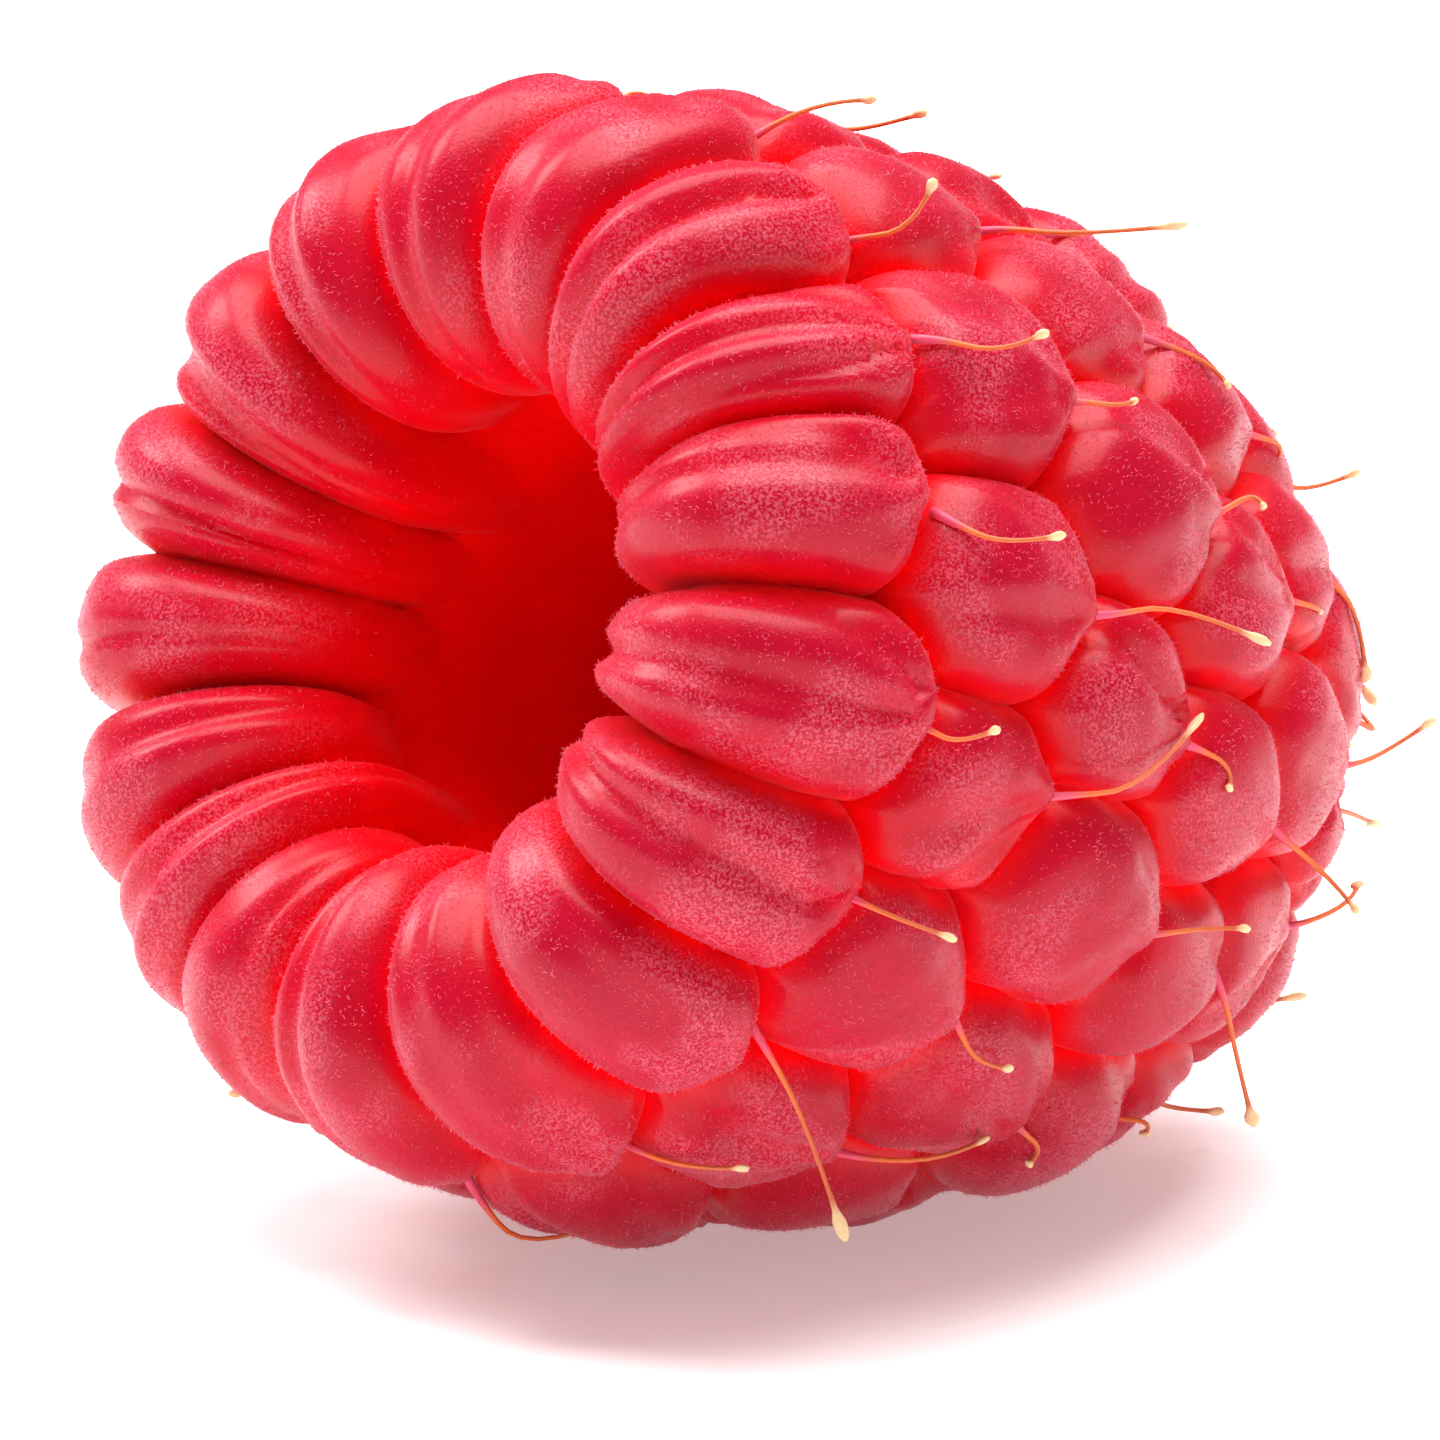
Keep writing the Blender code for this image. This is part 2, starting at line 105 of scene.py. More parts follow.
@dataclass(frozen=True)
class BaseLine:
    """The line that, turned round the fruit's axis, gives the base under the drupelets."""

    length: float = 21.0 * MM
    radius: float = 10.2 * MM
    widest_at: float = 5.6 * MM
    cup_radius: float = 4.5 * MM
    cup_bottom_at: float = 15.8 * MM
    crest_at: float = 1.6 * MM
    crest_radius: float = 7.0 * MM
    drupelet_height: float = 1.95 * MM
    lean: float = 0.22
    samples: int = 801

    def half_sizes(self) -> tuple[Array, Array, Array]:
        """Lengthwise and crosswise half sizes of the four quarter ellipses, and their middles."""
        radius = self.radius - self.drupelet_height
        dome_end = self.length - self.drupelet_height
        ends = [dome_end, self.crest_at, self.crest_at, self.cup_bottom_at]
        lengthwise = np.array(ends) - self.widest_at
        crest = self.crest_radius
        crosswise = np.array([radius, radius - crest, self.cup_radius - crest, self.cup_radius])
        return lengthwise, crosswise, np.array([0.0, crest, crest, 0.0])

    def at(self, station: Array, turn: Array) -> tuple[Array, Array]:
        """Points on the base, and the directions in which the skin is raised there.

        Args:
            station: places along the base line, from 0 to 4.
            turn: turns round the axis, in radians.

        Returns:
            The points and the unit directions.
        """
        all_lengthwise, all_crosswise, middles = self.half_sizes()
        quarter = np.clip(np.floor(station), 0, 3).astype(int)
        angle = (station - quarter) * QUARTER
        even = quarter % 2 == 0
        lengthwise = np.where(even, np.cos(angle), np.sin(angle))
        crosswise = np.where(even, np.sin(angle), np.cos(angle))
        x = self.widest_at + all_lengthwise[quarter] * lengthwise
        radius = middles[quarter] + all_crosswise[quarter] * crosswise
        slopes = [lengthwise / all_lengthwise[quarter], crosswise / all_crosswise[quarter]]
        side = np.where(quarter == 3, -1.0, 1.0)
        normal = unit(np.stack(slopes, axis=-1)) * side[..., None]
        tipward = np.stack([normal[..., 1], -normal[..., 0]], axis=-1)
        lean = self.lean * crosswise * (quarter < 2)
        ray = unit(normal + lean[..., None] * tipward)
        return turned(x, radius, turn), turned(ray[..., 0], ray[..., 1], turn)

    def place_of(self, points: Array) -> tuple[Array, Array]:
        """Station and turn on the outside of the base that belong to points near it."""
        lengthwise, crosswise, _ = self.half_sizes()
        turn = np.arctan2(points[..., 2], points[..., 1])
        radius = np.hypot(points[..., 1], points[..., 2])
        behind = (points[..., 0] - self.widest_at) / lengthwise[0]
        before = np.clip((points[..., 0] - self.widest_at) / lengthwise[1], 0, 1)
        dome = np.arctan2(radius / crosswise[0], behind) / QUARTER
        return np.where(behind > 0, dome, 1 + np.arcsin(before) / QUARTER), turn

    def arc_of(self, station: Array) -> Array:
        """Distance along the base line from the tip to each station."""
        stations = np.linspace(0, BOTTOM_STATION, self.samples)
        line, _ = self.at(stations, np.zeros_like(stations))
        steps = np.linalg.norm(np.diff(line, axis=0), axis=1)
        return np.interp(station, stations, np.append(0.0, np.cumsum(steps)))


@dataclass(frozen=True)
class GrowthRule:
    """How the drupelets are counted and share out the base between them."""

    rim_count: int = 17
    rim_station: float = 1.6
    rim_size: float = 0.92
    rim_size_spread: float = 0.18
    ring_counts: tuple[int, ...] = (15, 15, 14, 12, 9, 5, 1)
    first_ring_arc: float = 0.1 * MM
    spacing: float = 3.55 * MM
    tip_size: float = 0.86
    size_spread: float = 0.10
    turn_spread: float = 0.20
    sway: float = math.radians(20.0)
    ground_end: float = 1.8
    ground_points: int = 8000
    ground_steps: int = 25
    golden_angle: float = math.pi * (3 - math.sqrt(5))

    def even_turns(self, count: int, start: float, random: np.random.Generator) -> Array:
        """Turns round the axis for a ring of drupelets, each a little off its even place."""
        spread = random.uniform(-self.turn_spread, self.turn_spread, count)
        return (np.arange(count) + start + spread) * 2 * math.pi / count

    def first_places(
        self, base: BaseLine, random: np.random.Generator
    ) -> tuple[Array, Array, Array]:
        """Stations, turns and sizes of the rim, and then of ring after ring."""
        stations = [np.full(self.rim_count, self.rim_station)]
        turns = [self.even_turns(self.rim_count, 0.0, random)]
        spread = random.uniform(-self.rim_size_spread, self.rim_size_spread, self.rim_count)
        sizes = [self.rim_size * (1 + spread)]
        outside = np.linspace(0, 1, base.samples)
        first_arc = float(base.arc_of(np.array(1.0))) - self.first_ring_arc
        arcs = np.linspace(first_arc, 0, len(self.ring_counts))
        rings = np.interp(arcs, base.arc_of(outside), outside)
        for number, (count, station) in enumerate(zip(self.ring_counts, rings)):
            stations.append(np.full(count, station))
            turns.append(self.even_turns(count, 0.5 * (number % 2), random))
            spread = random.uniform(-self.size_spread, self.size_spread, count)
            sizes.append((self.tip_size + (1 - self.tip_size) * station) * (1 + spread))
        return np.concatenate(stations), np.concatenate(turns), np.concatenate(sizes)

    def even_ground(self, base: BaseLine) -> tuple[Array, float]:
        """Points spread evenly over the base on a spiral from the tip, and the area of each."""
        stations = np.linspace(0, self.ground_end, base.samples)
        line, _ = base.at(stations, np.zeros_like(stations))
        steps = np.linalg.norm(np.diff(line, axis=0), axis=1)
        areas = np.append(0.0, np.cumsum(math.pi * steps * (line[1:, 1] + line[:-1, 1])))
        area = areas[-1] / self.ground_points
        number = np.arange(self.ground_points)
        places = np.interp((number + 0.5) * area, areas, stations)
        return base.at(places, number * self.golden_angle)[0], area

    def shared_out(
        self, base: BaseLine, stations: Array, turns: Array, sizes: Array
    ) -> tuple[Array, Array, Array]:
        """Places and sizes once each drupelet sits in the middle of its own ground.

        Args:
            base: the base that is shared out.
            stations: first stations; the rim keeps its own.
            turns: first turns.
            sizes: the ground goes to the nearest drupelet, by distance over these.

        Returns:
            Stations, turns and half-size shares, which are 1 at full spacing.
        """
        ground, area = self.even_ground(base)
        for _ in range(self.ground_steps):
            seats, _ = base.at(stations, turns)
            owners = (np.linalg.norm(ground[:, None] - seats, axis=2) / sizes).argmin(axis=1)
            counts = np.bincount(owners)
            sums = [np.bincount(owners, ground[:, axis]) for axis in range(3)]
            moved = base.place_of(np.stack(sums, axis=1) / counts[:, None])
            stations[self.rim_count :] = moved[0][self.rim_count :]
            turns = moved[1]
        scales = np.sqrt(counts * area / (self.spacing**2 * math.sqrt(3) / 2))
        scales[: self.rim_count] = 1
        return stations, turns, scales

    def rim_shares(self, turns: Array) -> Array:
        """Room of each rim drupelet between its two neighbours, where 1 is an even share."""
        gap = np.angle(np.exp(1j * (np.roll(turns, -1) - np.roll(turns, 1))))
        return np.abs(gap) * self.rim_count / (4 * math.pi)


@dataclass(frozen=True)
class DrupeletForm:
    """Half sizes of a drupelet on the base, and the soft relief of its skin."""

    across: float = 2.17 * MM
    along: float = 2.33 * MM
    reach: float = 3.3 * MM
    rim_across: float = 1.69 * MM
    rim_tipward: float = 2.0 * MM
    rim_mouthward: float = 5.5 * MM
    rim_footprint: float = 3.0
    rim_spread: float = 0.16
    rim_fade: float = 4.0
    fullness: float = 2.3
    tallest: float = 1.6
    apex_at: float = 0.8
    beak_height: float = 0.13
    beak_width: float = 0.20
    furrow_count: int = 3
    furrow_depth: float = 0.17
    furrow_widths: tuple[float, float] = (0.11, 0.24)
    furrow_angle: float = 0.70
    furrow_sway: float = 0.45
    furrow_start: tuple[float, float] = (0.08, 0.40)
    furrow_end: tuple[float, float] = (1.1, 1.9)
    furrow_full_at: float = 0.7
    furrow_least: float = 0.3
    swell: float = 0.035
    swell_waves: float = 2.6
    dent: float = 0.012
    dent_waves: float = 9.0


@dataclass
class Drupelets:
    """All drupelets, rim first: their places on the base, directions, sizes and furrows."""

    base: BaseLine
    rule: GrowthRule
    form: DrupeletForm
    arcs: Array
    turns: Array
    seats: Array
    ups: Array
    aheads: Array
    scales: Array
    mouthwards: Array
    tipwards: Array
    widths: Array
    furrow_angles: Array
    furrow_depths: Array
    furrow_widths: Array
    swell_phases: Array
    neighbours: int = 12
    batch: int = 20000

    @classmethod
    def grown(cls, random: np.random.Generator, relief: np.random.Generator) -> Drupelets:
        """The drupelets of this fruit.

        Args:
            random: draws the places and sizes.
            relief: draws the furrows and swells.

        Returns:
            The grown drupelets.
        """
        base, rule, form = BaseLine(), GrowthRule(), DrupeletForm()
        stations, turns, scales = rule.shared_out(base, *rule.first_places(base, random))
        seats, ups = base.at(stations, turns)
        tipward = np.array([1.0, 1e-6, 0.0])
        ahead = unit(tipward - (ups @ tipward)[:, None] * ups)
        sway = random.uniform(-rule.sway, rule.sway, (len(seats), 1))
        aheads = np.cos(sway) * ahead + np.sin(sway) * np.cross(ups, ahead)
        rim = slice(rule.rim_count)
        reaches = 1 + random.uniform(-form.rim_spread, form.rim_spread, (2, rule.rim_count))
        mouthwards, tipwards, widths = (
            np.full(len(seats), size)
            for size in (form.rim_mouthward, form.rim_tipward, form.rim_across)
        )
        mouthwards[rim] *= reaches[0]
        tipwards[rim] *= reaches[1]
        widths[rim] *= rule.rim_shares(turns[rim])
        count = (len(seats), form.furrow_count)
        spots = np.linspace(-1, 1, form.furrow_count)
        sways = relief.uniform(-form.furrow_sway, form.furrow_sway, count)
        angles = form.furrow_angle * (spots + sways)
        depths = form.furrow_depth * relief.uniform(0.0, 1.0, count) ** 0.7
        furrow_widths = relief.uniform(*form.furrow_widths, count)
        phases = relief.uniform(0, 2 * math.pi, (len(seats), 4))
        return cls(
            base, rule, form, base.arc_of(stations), turns, seats, ups, aheads, scales,
            mouthwards, tipwards, widths, angles, depths, furrow_widths, phases,
        )

    def spread(
        self, stations: Array, turns: Array, members: Indices
    ) -> tuple[Array, Array, Array]:
        """Where places lie on drupelets, in the drupelets' own half sizes.

        Args:
            stations: stations of the places.
            turns: turns of the places.
            members: for each place, the drupelets to measure from.

        Returns:
            Offsets towards the tip, offsets aside, and outness, which is 1 on the outline.
        """
        form = self.form
        points, _ = self.base.at(stations, turns)
        offsets = points[:, None] - self.seats[members]
        aheads, scales = self.aheads[members], self.scales[members]
        asides = np.cross(self.ups[members], aheads)
        along = (offsets * aheads).sum(axis=2) / (form.along * scales)
        across = (offsets * asides).sum(axis=2) / (form.across * scales)
        outness = np.hypot(along, across)
        outness = np.where(np.linalg.norm(offsets, axis=2) < form.reach, outness, 2.0)
        forward = self.base.arc_of(stations)[:, None] - self.arcs[members]
        lengths = np.where(forward > 0, self.mouthwards[members], self.tipwards[members])
        aside = np.angle(np.exp(1j * (turns[:, None] - self.turns[members])))
        rim_along = -forward / lengths
        rim_across = aside * np.hypot(*self.seats[0, 1:]) / self.widths[members]
        power = form.rim_footprint
        rim_outness = (np.abs(rim_along) ** power + np.abs(rim_across) ** power) ** (1 / power)
        rim = members < self.rule.rim_count
        along = np.where(rim, rim_along, along)
        across = np.where(rim, rim_across, across)
        return along, across, np.where(rim, rim_outness, outness)

    def relief(self, along: Array, across: Array, members: Indices) -> Array:
        """Share by which beak, furrows and swells raise or lower the skin of each drupelet."""
        form = self.form
        back = form.apex_at - along
        distance = np.hypot(back, across)
        angle = np.arctan2(across, back)
        total = form.beak_height * np.exp(-((distance / form.beak_width) ** 2))
        fade = smooth(distance, *form.furrow_start) * (1 - smooth(distance, *form.furrow_end))
        narrowing = np.clip(distance / form.furrow_full_at, form.furrow_least, 1)
        for number in range(form.furrow_count):
            off = angle - self.furrow_angles[members, number]
            width = self.furrow_widths[members, number] * narrowing
            line = np.exp(-((distance * np.sin(off) / width) ** 2)) * (np.cos(off) > 0)
            total = total - self.furrow_depths[members, number] * line * fade
        phases = self.swell_phases[members]
        waves = form.swell_waves
        total += form.swell * np.sin(waves * along + phases[..., 0])
        total += form.swell * np.sin(waves * across + 1.3 * along + phases[..., 1])
        dents = form.dent_waves * (across + 0.3 * np.sin(3 * along + phases[..., 2]))
        breaks = np.sin(0.6 * form.dent_waves * along + phases[..., 3])
        return total + form.dent * np.sin(dents) * breaks

    def heights(self, stations: Array, turns: Array, members: Indices) -> tuple[Array, Array]:
        """Heights of the named drupelets over the base as shares of a full one, and outness."""
        form = self.form
        along, across, outness = self.spread(stations, turns, members)
        power = form.fullness
        bulges = (1 - np.clip(outness, 0, 1) ** power) ** (1 / power) * self.scales[members]
        thinning = 1 - np.clip(-along, 0, 1) ** form.rim_fade
        bulges = np.where(members < self.rule.rim_count, bulges * thinning, bulges)
        return bulges * (1 + self.relief(along, across, members)), outness

    def levels(self, stations: Array, turns: Array, members: Indices) -> Array:
        """Values that fall with height and go on rising outside the outline."""
        heights, outness = self.heights(stations, turns, members)
        power = self.form.fullness
        inside = (1 - (heights / self.form.tallest) ** power) ** (1 / power)
        return inside + np.clip(outness - 1, 0, None)

    def near(self, points: Array) -> Indices:
        """The drupelets that can reach each point, in no order."""
        reach = np.full(len(self.seats), self.form.reach)
        reach[: self.rule.rim_count] = self.mouthwards[: self.rule.rim_count]
        distances = np.linalg.norm(points[:, None] - self.seats[None], axis=2) / reach
        return np.argpartition(distances, self.neighbours, axis=1)[:, : self.neighbours]

    def skin(self, stations: Array, turns: Array) -> tuple[Array, Array, Array]:
        """Points of the skin over places on the base: the highest drupelet counts.

        Args:
            stations: stations of the places.
            turns: turns of the places.

        Returns:
            The points, the heights as shares of a full drupelet, and the raising directions.
        """
        points, rays = self.base.at(stations, turns)
        heights = np.zeros(len(points))
        for start in range(0, len(points), self.batch):
            part = slice(start, start + self.batch)
            members = self.near(points[part])
            heights[part] = self.heights(stations[part], turns[part], members)[0].max(axis=1)
        raised = points + rays * self.base.drupelet_height * heights[:, None]
        return raised, heights, rays


@dataclass(frozen=True)
class RestingPose:
    """How the fruit lies on the table."""

    roll: float = math.radians(-56.0)
    tilt: float = math.radians(19.0)
    rim_height: float = 12.19 * MM
    shift_x: float = -9.28 * MM
    shift_y: float = -0.33 * MM

    def matrix(self) -> Array:
        """From the fruit's own axis to the table."""
        place = Matrix.Translation((self.shift_x, self.shift_y, self.rim_height))
        tilt = Matrix.Rotation(self.tilt, 4, "Y")
        return np.array(place @ tilt @ Matrix.Rotation(self.roll, 4, "X"))

    def laid(self, points: Array) -> Array:
        """The points on the table, pressed flat where they would go under it."""
        matrix = self.matrix()
        laid = points @ matrix[:3, :3].T + matrix[:3, 3]
        laid[..., 2] = np.clip(laid[..., 2], 0, None)
        return laid


def add_object(name: str, data: bpy.types.ID) -> bpy.types.Object:
    """Adds an object with this data to the scene."""
    made = bpy.data.objects.new(name, data)
    bpy.context.scene.collection.objects.link(made)
    return made


def add_facing(name: str, data: bpy.types.ID, place: Vector, back: Vector) -> bpy.types.Object:
    """Adds a light or camera at a place, with its back turned this way."""
    made = add_object(name, data)
    made.location = place
    made.rotation_euler = back.to_track_quat("Z", "Y").to_euler()
    return made


def add_piece(name: str, mesh: bpy.types.Mesh, material: bpy.types.Material) -> bpy.types.Object:
    """Adds a smooth-shaded piece that rides on the fruit's body."""
    mesh.materials.append(material)
    mesh.shade_smooth()
    piece = add_object(name, mesh)
    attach(piece, "root")
    LOG.info("%s: %d faces", name, len(mesh.polygons))
    return piece


def mesh_of(name: str, points: Array, faces: Indices) -> bpy.types.Mesh:
    """A mesh with these corners and triangles."""
    mesh = bpy.data.meshes.new(name)
    mesh.vertices.add(len(points))
    mesh.vertices.foreach_set("co", points.astype(np.float32).ravel())
    mesh.loops.add(faces.size)
    mesh.loops.foreach_set("vertex_index", faces.astype(np.int32).ravel())
    mesh.polygons.add(len(faces))
    starts = np.arange(0, faces.size, faces.shape[1], dtype=np.int32)
    mesh.polygons.foreach_set("loop_start", starts)
    mesh.update(calc_edges=True)
    return mesh


def ring_faces(rows: int, columns: int) -> Indices:
    """Triangles between neighbouring rows of points, each row closed in a ring."""
    column = np.arange(columns)
    following = (column + 1) % columns
    faces = []
    for near in range(0, (rows - 1) * columns, columns):
        far = near + columns
        faces.append(np.stack([near + column, near + following, far + following], axis=1))
        faces.append(np.stack([near + column, far + following, far + column], axis=1))
    return np.concatenate(faces)


def copies(faces: Indices, corners: int, count: int) -> Indices:
    """The faces of one part, for this many parts with this many corners each."""
    return (faces + corners * np.arange(count)[:, None, None]).reshape(-1, 3)


def fetched(items: bpy.types.bpy_prop_collection, name: str, width: int, kind: type) -> NDArray:
    """One property of every item, as rows of this width."""
    values = np.empty(len(items) * width, kind)
    items.foreach_get(name, values)
    return values.reshape(-1, width)


def store(mesh: bpy.types.Mesh, name: str, values: Array) -> None:
    """Keeps one value for each vertex under a name that a material reads."""
    layer = mesh.attributes.new(name, "FLOAT", "POINT")
    layer.data.foreach_set("value", values.astype(np.float32))


@dataclass
class Flesh:
    """The whole skin of the fruit: drupelets, creases between them, rim and cup."""

    drupelets: Drupelets
    pose: RestingPose
    ring_count: int = 12
    seam_steps: int = 6
    cup_rows: int = 60
    settle_steps: int = 60
    settle_share: float = 0.5
    crease_depth: float = 0.42 * MM
    crease_from: float = 0.70
    crease_fall: float = 0.35
    crease_end: tuple[float, float] = (2.0, 2.7)  # stations between which it fades
    crowding: float = 1.35
    inner_bump: float = 0.45 * MM
    inner_bump_radius: float = 1.8 * MM
    inner_bump_start: tuple[float, float] = (2.7, 3.1)
    cup_start: tuple[float, float] = (2.05, 2.9)
    sharp_angle: float = math.radians(50)

    def rings(self) -> Array:
        """Shares of the way from a drupelet's middle to its crease, closer near the crease."""
        even = np.linspace(0, 1, self.ring_count + 1)[1:]
        return 1 - (1 - even) ** self.crowding

    def settled(self, points: Array, members: Indices) -> Array:
        """Points moved to where the named drupelets are equally high."""
        drupelets = self.drupelets
        corners = drupelets.seats[members]
        for _ in range(self.settle_steps):
            levels = drupelets.levels(*drupelets.base.place_of(points), members)
            pull = levels - levels.mean(axis=1, keepdims=True)
            moves = (pull[..., None] * (corners - points[:, None])).sum(axis=1)
            points = points + self.settle_share * moves
        return points

    def crease(self, shares: Array) -> Array:
        """Depth of the crease at shares of the way to it."""
        late = np.clip((shares - self.crease_from) / (1 - self.crease_from), 0, 1)
        return self.crease_depth * late**2

    def neighbour_triples(self) -> Indices:
        """Triples of neighbouring drupelets, without the lid over the mouth."""
        shape = bmesh.new()
        for seat in self.drupelets.seats:
            shape.verts.new(seat)
        shape.verts.index_update()
        bmesh.ops.convex_hull(shape, input=shape.verts)
        bmesh.ops.triangulate(shape, faces=shape.faces)
        shape.verts.index_update()
        triples = np.array([[vertex.index for vertex in face.verts] for face in shape.faces])
        shape.free()
        return triples[(triples >= self.drupelets.rule.rim_count).any(axis=1)]

    def seams(self) -> tuple[Indices, Array]:
        """The creases behind the rim.

        Returns:
            Pairs of drupelets, and for each pair the points of half its crease, from its middle
            to where a third drupelet meets it.
        """
        triples = self.neighbour_triples()
        seats = self.drupelets.seats
        middles = self.settled(seats[triples].mean(axis=1), triples)
        pairs = np.sort(triples[:, [[0, 1], [1, 2], [2, 0]]], axis=2).reshape(-1, 2)
        ends = np.repeat(middles, 3, axis=0)
        starts = self.settled(seats[pairs].mean(axis=1), pairs)
        lines = [starts]
        for share in np.linspace(0, 1, self.seam_steps + 1)[1:-1]:
            lines.append(self.settled(starts * (1 - share) + ends * share, pairs))
        lines.append(ends)
        return pairs, np.stack(lines, axis=1)

    def sector_faces(self) -> Indices:
        """Triangles of one sector, between a drupelet's middle and half of one crease."""
        row = self.seam_steps + 1
        faces = [(0, 1 + step, 2 + step) for step in range(self.seam_steps)]
        for ring in range(self.ring_count - 1):
            for step in range(self.seam_steps):
                first = 1 + ring * row + step
                across = first + row + 1
                faces += [(first, first + row, across), (first, across, first + 1)]
        return np.array(faces)

    def dome(self) -> tuple[Array, Array, Indices]:
        """The skin behind the rim: points, heights and triangles."""
        pairs, lines = self.seams()
        rings = self.rings()
        share = rings[:, None, None]
        seats = self.drupelets.seats[pairs]
        sectors = []
        for side in range(2):
            seat = seats[:, side][:, None, None]
            rows = seat * (1 - share) + lines[:, None] * share
            rows = rows.reshape(len(pairs), -1, 3)
            sectors.append(np.concatenate([seats[:, side][:, None], rows], axis=1))
        sectors = np.concatenate(sectors)
        each = np.append(0.0, np.repeat(rings, self.seam_steps + 1))
        points, heights = self.raised(sectors.reshape(-1, 3), np.tile(each, len(sectors)))
        return points, heights, copies(self.sector_faces(), sectors.shape[1], len(sectors))

    def raised(self, places: Array, shares: Array) -> tuple[Array, Array]:
        """Skin points and heights over places near the base, sunk into the creases."""
        drupelets = self.drupelets
        points, heights, rays = drupelets.skin(*drupelets.base.place_of(places))
        sunk = self.crease(shares)
        return points - rays * sunk[:, None], heights - self.crease_fall * sunk / self.crease_depth

    def rim_line(self) -> tuple[Array, Array, Array]:
        """Stations, turns and shares of the front edge of the dome, all round the rim."""
        count = self.drupelets.rule.rim_count
        here = np.arange(count)
        after = (here + 1) % count
        pairs = np.sort(np.stack([here, after], axis=1), axis=1)
        seats = self.drupelets.seats
        seams = self.settled(seats[pairs].mean(axis=1), pairs)
        outwards = np.append(0.0, self.rings())[:, None]
        back = outwards[-2:0:-1]
        points, shares = [], []
        for index in here:
            points.append(seats[index] * (1 - outwards) + seams[index] * outwards)
            points.append(seats[after[index]] * (1 - back) + seams[index] * back)
            shares += [outwards[:, 0], back[:, 0]]
        station, turn = self.drupelets.base.place_of(np.concatenate(points))
        return station, turn, np.concatenate(shares)

    def cup(self) -> tuple[Array, Array, Indices, Array]:
        """The skin from the rim line to the bottom of the cup: points, heights, faces, stations."""
        start, turn, share = self.rim_line()
        rows = np.linspace(0, 1, self.cup_rows + 1)[:, None]
        stations = (start + rows * (BOTTOM_STATION - start)).ravel()
        turns = np.broadcast_to(turn, (len(rows), len(turn))).ravel()
        points, heights, rays = self.drupelets.skin(stations, turns)
        shares = np.broadcast_to(share, (len(rows), len(turn))).ravel()
        sunk = self.crease(shares) * (1 - smooth(stations, *self.crease_end))
        raised = self.inner_bumps(stations, turns)
        points = points + rays * (raised - sunk)[:, None]
        heights = heights - self.crease_fall * sunk / self.crease_depth
        return points, heights, ring_faces(len(rows), len(turn)), stations

    def inner_bumps(self, stations: Array, turns: Array) -> Array:
        """Heights of the drupelets' inner ends on the wall of the cup."""
        drupelets = self.drupelets
        behind_rim = slice(drupelets.rule.rim_count, None)
        outer, _ = drupelets.base.place_of(drupelets.seats[behind_rim])
        inner, _ = drupelets.base.at(BOTTOM_STATION - outer, drupelets.turns[behind_rim])
        points, _ = drupelets.base.at(stations, turns)
        heights = np.zeros(len(points))
        inside = stations > self.inner_bump_start[0]
        offsets = np.linalg.norm(points[inside][:, None] - inner[None], axis=2)
        shares = np.clip(1 - (offsets / self.inner_bump_radius) ** 2, 0, 1)
        heights[inside] = self.inner_bump * np.sqrt(shares.max(axis=1))
        return heights * smooth(stations, *self.inner_bump_start)

    def mesh(self) -> bpy.types.Mesh:
        """The closed skin on the table, dome and cup welded at the rim line."""
        points, heights, faces = self.dome()
        cup_points, cup_heights, cup_faces, stations = self.cup()
        all_points = self.pose.laid(np.concatenate([points, cup_points]))
        all_faces = np.concatenate([faces, cup_faces + len(points)])
        mesh = mesh_of("raspberry_flesh", all_points, all_faces)
        store(mesh, "rise", np.concatenate([heights, cup_heights]))
        in_cup = smooth(stations, *self.cup_start)
        store(mesh, "cup", np.concatenate([np.zeros(len(points)), in_cup]))
        shape = bmesh.new()
        shape.from_mesh(mesh)
        bmesh.ops.remove_doubles(shape, verts=shape.verts, dist=WELD)
        shape.normal_update()
        bmesh.ops.recalc_face_normals(shape, faces=shape.faces)
        shape.to_mesh(mesh)
        shape.free()
        return mesh

    def build(self, finish: FleshFinish) -> bpy.types.Object:
        """Adds the skin in its finish, in place of the plain solid."""
        piece = add_piece("raspberry_skin", self.mesh(), finish.material())
        piece.data.set_sharp_from_angle(angle=self.sharp_angle)
        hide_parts("raspberry")
        return piece


